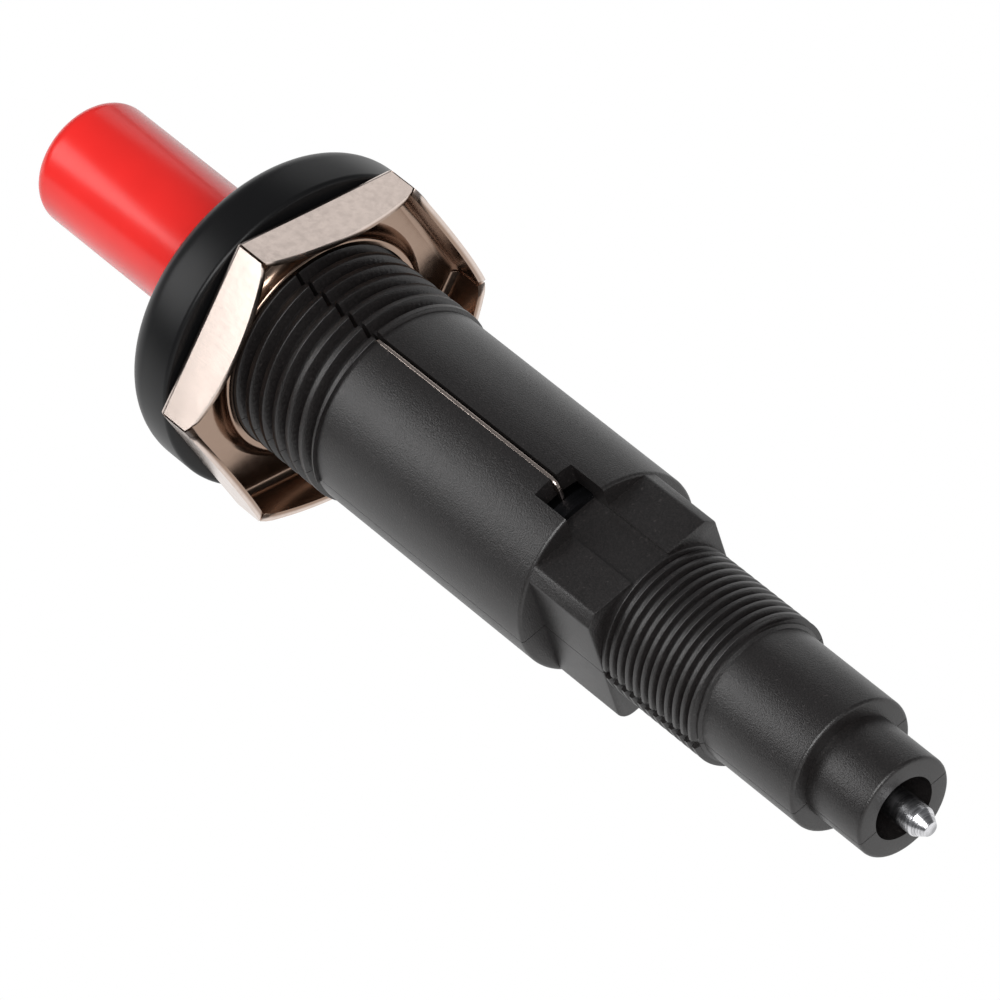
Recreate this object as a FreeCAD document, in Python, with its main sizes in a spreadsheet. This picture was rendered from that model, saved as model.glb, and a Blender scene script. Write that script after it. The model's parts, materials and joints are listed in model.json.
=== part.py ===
import FreeCAD, Part
import math
import os
import Sketcher

# Push-button piezo igniter for a panel.
# The frame: +Y runs along the barrel to the terminal, +Z is the side of the ground strip, and
# the origin is on the axis, where the rear face of the flange meets the panel.

document = FreeCAD.newDocument("piezo_igniter")

SIZES = {
    "button_proud": 22.75,
    "button_round": 1.6,
    "button_wall": 1.4,
    "button_end_wall": 2.2,
    "flange_d": 28.0,
    "flange_thick": 5.5,
    "flange_round": 2.4,
    "flange_edge": 0.4,
    "flange_web": 2.0,
    "dish_width": 1.5,
    "dish_depth": 0.5,
    "spigot_wall": 0.75,
    "thread_proud": 0.3,
    "thread_depth": 0.9,
    "thread_len": 11.7,
    "barrel_d": 17.4,
    "barrel_len": 24.6,
    "barrel_edge": 0.3,
    "barrel_wall": 2.0,
    "end_wall": 1.8,
    "block_w": 13.0,
    "block_len": 6.9,
    "block_chamfer": 0.9,
    "block_round": 1.4,
    "block_wall": 1.4,
    "channel_w": 3.7,
    "channel_depth": 0.5,
    "window_len": 3.7,
    "rear_thread_d": 13.0,
    "rear_depth": 0.45,
    "rear_thread_len": 10.8,
    "seam_relief": 0.45,
    "tail_d": 11.6,
    "tail_len": 10.1,
    "tail_edge": 0.3,
    "peg_d": 1.2,
    "peg_len": 1.2,
    "peg_spacing": 8.0,
    "nose_d": 8.8,
    "nose_len": 5.9,
    "nose_edge": 0.4,
    "nose_bore_d": 5.5,
    "nose_bore_len": 4.5,
    "pin_d": 2.5,
    "pin_proud": 3.0,
    "pin_cone": 1.1,
    "pin_tip_d": 0.96,
    "pin_web": 3.9,
    "pin_head_d": 4.4,
    "pin_head_len": 1.5,
    "pin_shank_d": 3.2,
    "nut_inset": 1.0,
    "nut_sheet": 0.6,
    "nut_flap": 2.9,
    "nut_crown": 1.2,
    "nut_slit": 0.2,
    "nut_lip_wall": 0.6,
    "nut_lip": 1.2,
    "nut_fold": 0.6,
    "nut_turn": 18.0,
    "nut_gap": 0.3,
    "strip_thick": 0.4,
    "strip_width": 1.35,
    "strip_sunk": 0.05,
    "strip_dip": 0.75,
    "strip_leg": 3.05,
    "strip_tip": 0.8,
    "collar_len": 2.0,
    "collar_step": 1.1,
    "sleeve_wall": 1.4,
    "socket_step": 0.9,
    "sleeve_past": 2.5,
    "cam_lead": 3.0,
    "cam_rise": 0.8,
    "guide_wall": 1.0,
    "guide_flange": 1.2,
    "hammer_len": 8.0,
    "hammer_lead": 3.6,
    "boss_clear": 1.3,
    "hammer_boss": 1.0,
    "hammer_edge": 0.5,
    "cross_pin_d": 1.8,
    "cross_pin_short": 0.3,
    "cross_pin_back": 3.5,
    "strike_travel": 8.0,
    "latch_depth": 2.2,
    "anvil_reach": 3.45,
    "anvil_flange": 1.0,
    "seat_len": 1.0,
    "crystal_d": 6.4,
    "crystal_len": 7.0,
    "disc_thick": 0.4,
    "cap_len": 1.1,
    "cap_dimple": 0.3,
    "stack_web": 2.0,
    "contact_hole_d": 3.4,
    "coil_inset": 0.8,
    "drive_wire_d": 0.8,
    "drive_turns": 6.0,
    "return_wire_d": 0.6,
    "return_turns": 4.0,
    "contact_coil_d": 2.4,
    "contact_wire_d": 0.4,
    "contact_turns": 4.0,
    "running": 0.08,
    "fit": 0.05,
    "loose": 0.1,
    "margin": 2.0,
}

sheet = document.addObject("Spreadsheet::Sheet", "dims")
for row, (alias, millimetres) in enumerate(SIZES.items(), start=1):
    sheet.set("A%d" % row, alias)
    sheet.set("B%d" % row, str(millimetres))
    sheet.setAlias("B%d" % row, alias)
document.recompute()


class Size:
    """A length with its value and the expression that ties it to the sheet."""

    def __init__(self, value, text):
        self.value = value
        self.text = text

    def join(self, other, sign, value):
        text = other.text if isinstance(other, Size) else repr(other)
        return Size(value, "(%s %s %s)" % (self.text, sign, text))

    def __add__(self, other):
        return self.join(other, "+", self.value + number(other))

    def __sub__(self, other):
        return self.join(other, "-", self.value - number(other))

    def __mul__(self, other):
        return self.join(other, "*", self.value * number(other))

    def __truediv__(self, other):
        return self.join(other, "/", self.value / number(other))

    def __neg__(self):
        return Size(-self.value, "(0 - %s)" % self.text)


def number(thing):
    return thing.value if isinstance(thing, Size) else float(thing)


def size(alias):
    return Size(SIZES[alias], "dims.%s" % alias)


NOUGHT = Size(0.0, "0")


# Places along the axis, and radii that several pieces share.

flange_front = -size("flange_thick")
web_back = flange_front + size("flange_web")
button_front = flange_front - size("button_proud")
thread_end = size("thread_len")
barrel_end = thread_end + size("barrel_len")
block_end = barrel_end + size("block_len")
rear_thread_end = block_end + size("rear_thread_len")
tail_end = rear_thread_end + size("tail_len")
nose_end = tail_end + size("nose_len")
window_start = barrel_end - size("window_len")

barrel_r = size("barrel_d") / 2
bore_r = barrel_r - size("barrel_wall")
spigot_r = bore_r + size("spigot_wall")
thread_r = barrel_r + size("thread_proud")
thread_root_r = thread_r - size("thread_depth")
nut_flats = size("flange_d") - size("nut_inset") * 2
block_half = size("block_w") / 2
rear_thread_r = size("rear_thread_d") / 2
rear_root_r = rear_thread_r - size("rear_depth")
tail_r = size("tail_d") / 2
nose_r = size("nose_d") / 2
nose_bore_r = size("nose_bore_d") / 2
pin_r = size("pin_d") / 2
pin_head_r = size("pin_head_d") / 2

bore_end = barrel_end - size("end_wall")
stack_bore_r = block_half - size("block_wall")
pin_bore_start = nose_end - size("nose_bore_len")
pin_seat = pin_bore_start - size("pin_web")
pin_head_front = pin_seat - size("pin_head_len")
head_bore_r = pin_head_r + size("loose")
shank_r = size("pin_shank_d") / 2
channel_floor = block_half - size("channel_depth")

collar_front = web_back + size("loose")
collar_back = collar_front + size("collar_len")
sleeve_r = bore_r - size("loose")
button_r = sleeve_r - size("collar_step")
button_bore_r = button_r - size("button_wall")
button_bore_front = button_front + size("button_end_wall")
sleeve_bore_r = sleeve_r - size("sleeve_wall")
socket_r = button_bore_r + size("socket_step")
guide_r = sleeve_bore_r - size("loose")
guide_bore_r = guide_r - size("guide_wall")
guide_flange_front = bore_end - size("guide_flange")

# The striker's places follow from the anvil's face, the hammer's travel away.
anvil_face = bore_end - size("anvil_reach")
hammer_face = anvil_face - size("fit") - size("strike_travel")
hammer_back = hammer_face - size("hammer_boss")
hammer_front = hammer_back - size("hammer_len")
hammer_r = guide_bore_r - size("loose")
cross_pin_r = size("cross_pin_d") / 2
cross_pin_y = hammer_back - size("cross_pin_back")
guide_front = hammer_front - size("hammer_lead")
sleeve_end = cross_pin_y + size("sleeve_past")
coil_r = guide_bore_r - size("coil_inset")
boss_r = coil_r - size("boss_clear")
seat_back = bore_end + size("seat_len")
anvil_back = seat_back + size("anvil_flange")
crystal_r = size("crystal_d") / 2
front_crystal_end = anvil_back + size("crystal_len")
disc_end = front_crystal_end + size("disc_thick")
rear_crystal_end = disc_end + size("crystal_len")
cap_end = rear_crystal_end + size("cap_len")
stack_end = cap_end + size("stack_web")
contact_hole_r = size("contact_hole_d") / 2


def origin_part(body, role):
    for feature in body.Origin.OriginFeatures:
        if feature.Role == role:
            return feature
    raise ValueError("no origin feature with the role " + role)


def new_body(label):
    body = document.addObject("PartDesign::Body", label)
    body.Label = label
    return body


def new_sketch(body, name, plane, offset=None):
    sketch = body.newObject("Sketcher::SketchObject", name)
    sketch.AttachmentSupport = [(origin_part(body, plane), "")]
    sketch.MapMode = "FlatFace"
    if offset is not None:
        sketch.setExpression("AttachmentOffset.Base.z", offset.text)
    return sketch


def tie(sketch, kind, geometry, point, length):
    index = sketch.addConstraint(Sketcher.Constraint(kind, -1, 1, geometry, point, length.value))
    sketch.setExpression("Constraints[%d]" % index, length.text)


def draw_outline(sketch, points):
    """Draws a closed outline. A point is (x, y), or (x, y, centre x) where an arc leads to it."""
    places = [FreeCAD.Vector(p[0].value, p[1].value, 0) for p in points]
    first = sketch.GeometryCount
    for index, point in enumerate(points):
        start = places[index - 1]
        end = places[index]
        if len(point) == 2:
            sketch.addGeometry(Part.LineSegment(start, end))
            continue
        sketch.addGeometry(Part.Arc(start, arc_middle(start, end, point[2].value), end))
    for index, point in enumerate(points):
        geometry = first + index
        following = first + (index + 1) % len(points)
        end_point = end_of(sketch, geometry, places[index])
        start_point = 3 - end_of(sketch, following, places[(index + 1) % len(points)])
        sketch.addConstraint(Sketcher.Constraint("Coincident", geometry, end_point, following, start_point))
        tie(sketch, "DistanceX", geometry, end_point, point[0])
        tie(sketch, "DistanceY", geometry, end_point, point[1])
        if len(point) == 3:
            tie(sketch, "DistanceX", geometry, 3, point[2])


def arc_middle(start, end, centre_x):
    """A point halfway along the shorter arc from start to end round a centre at centre_x."""
    run = end - start
    square = (end.x - centre_x) ** 2 - (start.x - centre_x) ** 2
    centre_y = (square + end.y ** 2 - start.y ** 2) / (2 * run.y)
    centre = FreeCAD.Vector(centre_x, centre_y, 0)
    outward = (start + end) / 2 - centre
    return centre + outward.normalize() * (start - centre).Length


def end_of(sketch, geometry, place):
    """Which end of a line or arc lies at the place, since an arc always runs anticlockwise."""
    return 2 if sketch.getPoint(geometry, 2).distanceToPoint(place) < 1e-6 else 1


def draw_circle(sketch, x, y, radius):
    place = FreeCAD.Vector(x.value, y.value, 0)
    circle = sketch.addGeometry(Part.Circle(place, FreeCAD.Vector(0, 0, 1), radius.value))
    tie(sketch, "DistanceX", circle, 3, x)
    tie(sketch, "DistanceY", circle, 3, y)
    index = sketch.addConstraint(Sketcher.Constraint("Radius", circle, radius.value))
    sketch.setExpression("Constraints[%d]" % index, radius.text)


def turn(body, name, points, kind="PartDesign::Revolution", angle=360.0, reverse=False):
    sketch = new_sketch(body, name + "_outline", "XY_Plane")
    draw_outline(sketch, points)
    feature = body.newObject(kind, name)
    feature.Profile = sketch
    feature.ReferenceAxis = (sketch, ["V_Axis"])
    feature.Angle = angle
    feature.Reversed = reverse
    return feature


def prism(body, name, kind, plane, outlines, length, offset=None, midplane=False, reverse=False):
    sketch = new_sketch(body, name + "_outline", plane, offset)
    for points in outlines:
        draw_outline(sketch, points)
    return extrude(body, name, kind, sketch, length, midplane, reverse)


def extrude(body, name, kind, sketch, length, midplane=False, reverse=False):
    feature = body.newObject(kind, name)
    feature.Profile = sketch
    feature.setExpression("Length", length.text)
    feature.Midplane = midplane
    feature.Reversed = reverse
    return feature


def box_outline(x_low, x_high, y_low, y_high):
    return [(x_low, y_low), (x_high, y_low), (x_high, y_high), (x_low, y_high)]


def turned_piece(label, points):
    body = new_body(label)
    turn(body, label + "_turned", points)
    return body


def ring_outline(inner, outer, start, end):
    return box_outline(inner, outer, start, end)


# Button, flange and drive

def make_push_button():
    rounding = size("button_round")
    return turned_piece("push_button", [
        (NOUGHT, button_front),
        (button_r - rounding, button_front),
        (button_r, button_front + rounding, button_r - rounding),
        (button_r, collar_front),
        (sleeve_r, collar_front),
        (sleeve_r, collar_back),
        (socket_r, collar_back),
        (socket_r, collar_front),
        (button_bore_r, collar_front),
        (button_bore_r, button_bore_front),
        (NOUGHT, button_bore_front),
    ])


def make_bezel_flange():
    flange_r = size("flange_d") / 2
    rounding = size("flange_round")
    edge = size("flange_edge")
    hole_r = button_r + size("running")
    dish_r = hole_r + size("dish_width")
    recess_r = spigot_r + size("fit")
    return turned_piece("bezel_flange", [
        (hole_r, flange_front + size("dish_depth")),
        (dish_r, flange_front),
        (flange_r - rounding, flange_front),
        (flange_r, flange_front + rounding, flange_r - rounding),
        (flange_r, -edge),
        (flange_r - edge, NOUGHT),
        (recess_r, NOUGHT),
        (recess_r, web_back),
        (hole_r, web_back),
    ])


def make_plunger_sleeve():
    body = turned_piece("plunger_sleeve", [
        (button_bore_r, collar_front),
        (socket_r - size("fit"), collar_front),
        (socket_r - size("fit"), collar_back),
        (sleeve_r, collar_back),
        (sleeve_r, sleeve_end),
        (sleeve_bore_r, sleeve_end),
        (sleeve_bore_r, collar_back + size("sleeve_wall")),
        (button_bore_r, collar_back + size("sleeve_wall")),
    ])
    half = cross_pin_r + size("loose")
    start = guide_front - size("cam_lead")
    cam_slot = [
        (half, start),
        (half, sleeve_end + size("margin")),
        (-half, sleeve_end + size("margin")),
        (-half, start - size("cam_rise")),
    ]
    sketch = new_sketch(body, "cam_slot_outline", "YZ_Plane")
    draw_outline(sketch, [(y, z) for z, y in cam_slot])
    extrude(body, "cam_slot", "PartDesign::Pocket", sketch, sleeve_r * 2 + size("margin"), midplane=True)
    return body


# Housing

def half_shell(label, upper):
    body = new_body(label)
    barrel_edge = size("barrel_edge")
    tail_edge = size("tail_edge")
    nose_edge = size("nose_edge")
    turn(body, label + "_barrel", [
        (NOUGHT, web_back),
        (spigot_r, web_back),
        (spigot_r, NOUGHT),
        (thread_r, NOUGHT),
        (thread_r, thread_end - barrel_edge),
        (barrel_r, thread_end),
        (barrel_r, barrel_end - barrel_edge),
        (barrel_r - barrel_edge, barrel_end),
        (rear_root_r, barrel_end),
        (rear_root_r, block_end),
        (rear_thread_r, block_end),
        (rear_thread_r, rear_thread_end - size("rear_depth")),
        (tail_r, rear_thread_end),
        (tail_r, tail_end - tail_edge),
        (tail_r - tail_edge, tail_end),
        (nose_r, tail_end),
        (nose_r, nose_end - nose_edge),
        (nose_r - nose_edge, nose_end),
        (NOUGHT, nose_end),
    ], angle=180.0, reverse=upper)
    block = upper_block_outline() if upper else lower_block_outline()
    prism(body, label + "_block", "PartDesign::Pad", "XZ_Plane", [block], size("block_len"), -block_end)
    turn(body, label + "_bores", [
        (NOUGHT, web_back - size("margin")),
        (bore_r, web_back - size("margin")),
        (bore_r, bore_end),
        (stack_bore_r, bore_end),
        (stack_bore_r, stack_end),
        (head_bore_r, stack_end),
        (head_bore_r, pin_seat),
        (shank_r + size("fit"), pin_seat),
        (shank_r + size("fit"), pin_bore_start),
        (nose_bore_r, pin_bore_start),
        (nose_bore_r, nose_end + size("margin")),
        (NOUGHT, nose_end + size("margin")),
    ], kind="PartDesign::Groove")
    beyond = rear_thread_r + size("margin")
    reliefs = [
        box_outline(rear_root_r, beyond, block_end, rear_thread_end),
        box_outline(-beyond, -rear_root_r, block_end, rear_thread_end),
    ]
    prism(body, label + "_seam_relief", "PartDesign::Pocket", "XY_Plane", reliefs, size("seam_relief"),
          reverse=upper)
    return body


def upper_block_outline():
    chamfer = size("block_chamfer")
    return [
        (-block_half, NOUGHT),
        (block_half, NOUGHT),
        (block_half, block_half - chamfer),
        (block_half - chamfer, block_half),
        (chamfer - block_half, block_half),
        (-block_half, block_half - chamfer),
    ]


def lower_block_outline():
    rounding = size("block_round")
    return [
        (block_half, NOUGHT),
        (-block_half, NOUGHT),
        (-block_half, rounding - block_half),
        (rounding - block_half, -block_half, rounding - block_half),
        (block_half - rounding, -block_half),
        (block_half, rounding - block_half, block_half - rounding),
    ]


def peg_circles(body, name, radius):
    sketch = new_sketch(body, name, "XY_Plane")
    middle = (rear_thread_end + pin_seat) / 2
    spread = size("peg_spacing") / 2
    draw_circle(sketch, spread, middle, radius)
    draw_circle(sketch, -spread, middle, radius)
    return sketch


def make_housing_upper():
    body = half_shell("housing_upper", True)
    half = size("channel_w") / 2
    window = box_outline(-half, half, channel_floor, thread_r + size("margin"))
    prism(body, "window_and_channel", "PartDesign::Pocket", "XZ_Plane", [window],
          size("window_len") + size("block_len"), -window_start)
    slot = box_outline(strip_front - size("fit"), window_start + size("fit"),
                       strip_low - size("loose"), thread_r + size("margin"))
    prism(body, "strip_slot", "PartDesign::Pocket", "YZ_Plane", [slot],
          size("strip_thick") + size("loose"), midplane=True)
    sketch = peg_circles(body, "peg_hole_circles", size("peg_d") / 2 + size("fit"))
    extrude(body, "peg_holes", "PartDesign::Pocket", sketch, size("peg_len") + size("loose"), reverse=True)
    return body


def make_housing_lower():
    body = half_shell("housing_lower", False)
    sketch = peg_circles(body, "peg_circles", size("peg_d") / 2)
    extrude(body, "pegs", "PartDesign::Pad", sketch, size("peg_len"))
    return body


# Ground strip: it runs on edge in the slot, dips below the thread and hooks in at the window.

strip_high = barrel_r - size("strip_sunk")
strip_low = strip_high - size("strip_width")
strip_front = size("nut_gap") + size("fit") * 4
strip_back = guide_flange_front - size("fit")


def make_ground_strip():
    body = new_body("ground_strip")
    dip = strip_high - size("strip_dip")
    tip_end = strip_front + size("strip_tip")
    tip_top = thread_root_r + size("fit") * 2
    rise = thread_end - size("strip_width")
    leg_front = strip_back - size("strip_thick")
    outline = [
        (strip_front, strip_low),
        (leg_front, strip_low),
        (leg_front, strip_high - size("strip_leg")),
        (strip_back, strip_high - size("strip_leg")),
        (strip_back, strip_high),
        (rise + size("strip_dip"), strip_high),
        (rise, dip),
        (tip_end, dip),
        (tip_end, tip_top),
        (strip_front, tip_top),
    ]
    prism(body, "strip", "PartDesign::Pad", "YZ_Plane", [outline], size("strip_thick"), midplane=True)
    return body


# Nut: a stamped hexagon whose six sides fold to the rear.

def hexagon_outline(flats):
    corner = flats / math.sqrt(3)
    turns = [math.radians(60 * index) for index in range(6)]
    return [(corner * math.cos(angle), corner * math.sin(angle)) for angle in turns]


def make_hex_nut():
    body = new_body("hex_nut")
    front = size("nut_gap")
    sheet_back = front + size("nut_sheet")
    flap_top = sheet_back + size("nut_flap")
    crown_top = flap_top + size("nut_crown")
    bore = thread_r + size("running")
    lip_r = bore + size("nut_lip_wall")
    prism(body, "nut_blank", "PartDesign::Pad", "XZ_Plane", [hexagon_outline(nut_flats)],
          crown_top - front, -front, reverse=True)
    round_front_edges(body, front.value, size("nut_fold"))
    prism(body, "nut_inside", "PartDesign::Pocket", "XZ_Plane",
          [hexagon_outline(nut_flats - size("nut_sheet") * 2)], crown_top - sheet_back, -sheet_back)
    turn(body, "nut_lip", [
        (bore - size("loose"), front),
        (lip_r, front),
        (lip_r, sheet_back + size("nut_lip")),
        (bore - size("loose"), sheet_back + size("nut_lip")),
    ])
    turn(body, "nut_bore", [
        (NOUGHT, front - size("margin")),
        (bore, front - size("margin")),
        (bore, crown_top + size("margin")),
        (NOUGHT, crown_top + size("margin")),
    ], kind="PartDesign::Groove")
    half_side = nut_flats / (2 * math.sqrt(3))
    beyond = crown_top + size("margin")
    above_arc = [
        (half_side, beyond),
        (half_side, flap_top),
        (NOUGHT, crown_top, NOUGHT),
        (-half_side, flap_top, NOUGHT),
        (-half_side, beyond),
    ]
    arch = prism(body, "flap_arch", "PartDesign::Pocket", "XY_Plane", [above_arc],
                 size("nut_sheet") + size("margin"), nut_flats / 2 + size("margin") / 2)
    slit_half = size("nut_slit") / 2
    slit = box_outline(lip_r + size("nut_sheet"), nut_flats, -slit_half, slit_half)
    cut = prism(body, "corner_slit", "PartDesign::Pocket", "XZ_Plane", [slit], beyond - sheet_back,
                -sheet_back)
    repeat = body.newObject("PartDesign::PolarPattern", "six_sides")
    repeat.Originals = [arch, cut]
    repeat.Axis = (origin_part(body, "Y_Axis"), [""])
    repeat.Angle = 360.0
    repeat.Occurrences = 6
    body.Tip = repeat
    body.setExpression("Placement.Rotation.Angle", "dims.nut_turn")
    body.Placement.Rotation.Axis = FreeCAD.Vector(0, -1, 0)
    return body


def round_front_edges(body, front, radius):
    document.recompute()
    blank = body.Tip
    names = []
    for index, edge in enumerate(blank.Shape.Edges, start=1):
        if all(abs(vertex.Y - front) < 1e-6 for vertex in edge.Vertexes):
            names.append("Edge%d" % index)
    fillet = body.newObject("PartDesign::Fillet", "nut_fold")
    fillet.Base = (blank, names)
    fillet.setExpression("Radius", radius.text)


# Striker

def make_guide_tube():
    body = turned_piece("guide_tube", [
        (guide_bore_r, guide_front),
        (guide_r, guide_front),
        (guide_r, guide_flange_front),
        (sleeve_r, guide_flange_front),
        (sleeve_r, bore_end),
        (guide_bore_r, bore_end),
    ])
    half = cross_pin_r + size("loose")
    slot_front = cross_pin_y - half
    slot_back = cross_pin_y + size("strike_travel") + half
    notch_back = cross_pin_y + half
    notch_side = half + size("latch_depth")
    reach = guide_r + size("margin")
    for side, sign in (("left", 1.0), ("right", -1.0)):
        outline = [
            (slot_front, half * -sign),
            (slot_back, half * -sign),
            (slot_back, half * sign),
            (notch_back, half * sign),
            (notch_back, notch_side * sign),
            (slot_front, notch_side * sign),
        ]
        prism(body, "latch_slot_" + side, "PartDesign::Pocket", "YZ_Plane", [outline], reach,
              reverse=(side == "left"))
    return body


def make_hammer():
    edge = size("hammer_edge")
    body = turned_piece("hammer", [
        (NOUGHT, hammer_front),
        (hammer_r - edge, hammer_front),
        (hammer_r, hammer_front + edge),
        (hammer_r, hammer_back),
        (boss_r, hammer_back),
        (boss_r, hammer_face),
        (NOUGHT, hammer_face),
    ])
    sketch = new_sketch(body, "cross_hole_circle", "YZ_Plane")
    draw_circle(sketch, cross_pin_y, NOUGHT, cross_pin_r)
    extrude(body, "cross_hole", "PartDesign::Pocket", sketch, hammer_r * 2 + size("margin"), midplane=True)
    return body


def make_cross_pin():
    body = new_body("cross_pin")
    sketch = new_sketch(body, "cross_pin_circle", "YZ_Plane")
    draw_circle(sketch, cross_pin_y, NOUGHT, cross_pin_r)
    extrude(body, "cross_pin_rod", "PartDesign::Pad", sketch, (sleeve_r - size("cross_pin_short")) * 2,
            midplane=True)
    return body


def coil_spring(label, start, end, middle_r, wire_d, turns):
    body = new_body(label)
    wire_r = wire_d / 2
    sketch = new_sketch(body, label + "_wire", "XY_Plane")
    draw_outline(sketch, [
        (middle_r, start),
        (middle_r + wire_r, start + wire_r),
        (middle_r, start + wire_d),
        (middle_r - wire_r, start + wire_r),
    ])
    coil = body.newObject("PartDesign::AdditiveHelix", label + "_coil")
    coil.Profile = sketch
    coil.ReferenceAxis = (sketch, ["V_Axis"])
    coil.Mode = "height-turns-angle"
    coil.setExpression("Height", (end - start - wire_d).text)
    coil.setExpression("Turns", turns.text)
    return body


# Anvil and crystals

def make_anvil():
    flange_r = crystal_r
    return turned_piece("anvil", [
        (NOUGHT, anvil_face),
        (boss_r, anvil_face),
        (boss_r, seat_back),
        (flange_r, seat_back),
        (flange_r, anvil_back),
        (NOUGHT, anvil_back),
    ])


def make_piezo_sleeve():
    bore = crystal_r + size("loose")
    outer = stack_bore_r - size("fit")
    return turned_piece("piezo_sleeve", [
        (bore, seat_back),
        (outer, seat_back),
        (outer, stack_end),
        (contact_hole_r, stack_end),
        (contact_hole_r, cap_end),
        (bore, cap_end),
    ])


def disc(label, radius, start, end):
    return turned_piece(label, box_outline(NOUGHT, radius, start, end))


def make_rear_contact():
    dimple = size("cap_dimple")
    return turned_piece("rear_contact", [
        (NOUGHT, rear_crystal_end),
        (crystal_r, rear_crystal_end),
        (crystal_r, cap_end),
        (contact_hole_r, cap_end),
        (contact_hole_r - dimple, cap_end - dimple),
        (NOUGHT, cap_end - dimple),
    ])


def make_terminal_pin():
    tip = nose_end + size("pin_proud")
    return turned_piece("terminal_pin", [
        (NOUGHT, pin_head_front),
        (pin_head_r, pin_head_front),
        (pin_head_r, pin_seat),
        (shank_r, pin_seat),
        (shank_r, pin_bore_start),
        (pin_r, pin_bore_start),
        (pin_r, tip - size("pin_cone")),
        (size("pin_tip_d") / 2, tip),
        (NOUGHT, tip),
    ])


pieces = [
    make_push_button(),
    make_bezel_flange(),
    make_plunger_sleeve(),
    make_housing_upper(),
    make_housing_lower(),
    make_ground_strip(),
    make_hex_nut(),
    make_guide_tube(),
    make_hammer(),
    make_cross_pin(),
    coil_spring("drive_spring", button_bore_front, hammer_front, coil_r, size("drive_wire_d"),
                size("drive_turns")),
    coil_spring("return_spring", hammer_back, bore_end, coil_r, size("return_wire_d"),
                size("return_turns")),
    make_anvil(),
    turned_piece("anvil_seat", ring_outline(boss_r + size("fit"), stack_bore_r - size("fit"), bore_end,
                                            seat_back)),
    disc("front_crystal", crystal_r, anvil_back, front_crystal_end),
    disc("contact_disc", crystal_r, front_crystal_end, disc_end),
    disc("rear_crystal", crystal_r, disc_end, rear_crystal_end),
    make_piezo_sleeve(),
    make_rear_contact(),
    coil_spring("contact_spring", cap_end - size("cap_dimple"), pin_head_front, size("contact_coil_d") / 2,
                size("contact_wire_d"), size("contact_turns")),
    make_terminal_pin(),
]

document.recompute()
for feature in document.Objects:
    if "Invalid" in feature.State or "Error" in feature.State:
        raise ValueError("not built: " + feature.Name)

os.makedirs("parts", exist_ok=True)
for piece in pieces:
    shape = piece.Shape
    if not shape.isValid() or len(shape.Solids) != 1:
        raise ValueError("%s has %d solids" % (piece.Label, len(shape.Solids)))
    shape.exportStep("parts/%s.step" % piece.Label)
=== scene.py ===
import json
import math

import bpy
from mathutils import Matrix, Vector


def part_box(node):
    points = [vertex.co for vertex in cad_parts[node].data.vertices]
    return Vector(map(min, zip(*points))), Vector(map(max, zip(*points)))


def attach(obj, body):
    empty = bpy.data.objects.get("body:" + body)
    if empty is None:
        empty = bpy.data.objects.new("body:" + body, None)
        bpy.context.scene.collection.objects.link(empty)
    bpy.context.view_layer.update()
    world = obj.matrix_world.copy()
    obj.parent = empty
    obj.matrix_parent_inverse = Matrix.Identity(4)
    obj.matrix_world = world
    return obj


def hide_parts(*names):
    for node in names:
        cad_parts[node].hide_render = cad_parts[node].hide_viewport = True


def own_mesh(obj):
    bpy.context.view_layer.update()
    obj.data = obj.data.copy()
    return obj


bl_info = {
    "name": "Push-button piezo igniter",
    "version": (1, 0, 0),
    "blender": (4, 5, 0),
    "location": "View3D > Sidebar > Igniter",
    "description": "Models a panel-mounted piezo igniter with its threads, folded nut and finishes",
    "category": "Add Mesh",
}

# +Y runs along the barrel to the terminal pin, +Z is the side of the ground strip, and the origin
# is on the axis where the flange meets the panel. Lengths are in metres.

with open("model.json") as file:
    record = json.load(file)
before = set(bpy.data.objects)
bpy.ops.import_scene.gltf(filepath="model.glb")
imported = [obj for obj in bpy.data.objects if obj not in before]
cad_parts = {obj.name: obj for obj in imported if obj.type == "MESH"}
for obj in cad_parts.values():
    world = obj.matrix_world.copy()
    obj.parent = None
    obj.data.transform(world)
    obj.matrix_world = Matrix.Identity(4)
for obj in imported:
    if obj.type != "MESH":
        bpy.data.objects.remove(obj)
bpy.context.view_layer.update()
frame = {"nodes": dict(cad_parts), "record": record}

RING = 160


def length(name, description, default):
    return bpy.props.FloatProperty(name=name, description=description, default=default, unit="LENGTH",
                                   subtype="DISTANCE", precision=5)


def colour(name, description, default):
    return bpy.props.FloatVectorProperty(name=name, description=description, default=default, size=3,
                                         subtype="COLOR", min=0.0, max=1.0)


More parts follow.
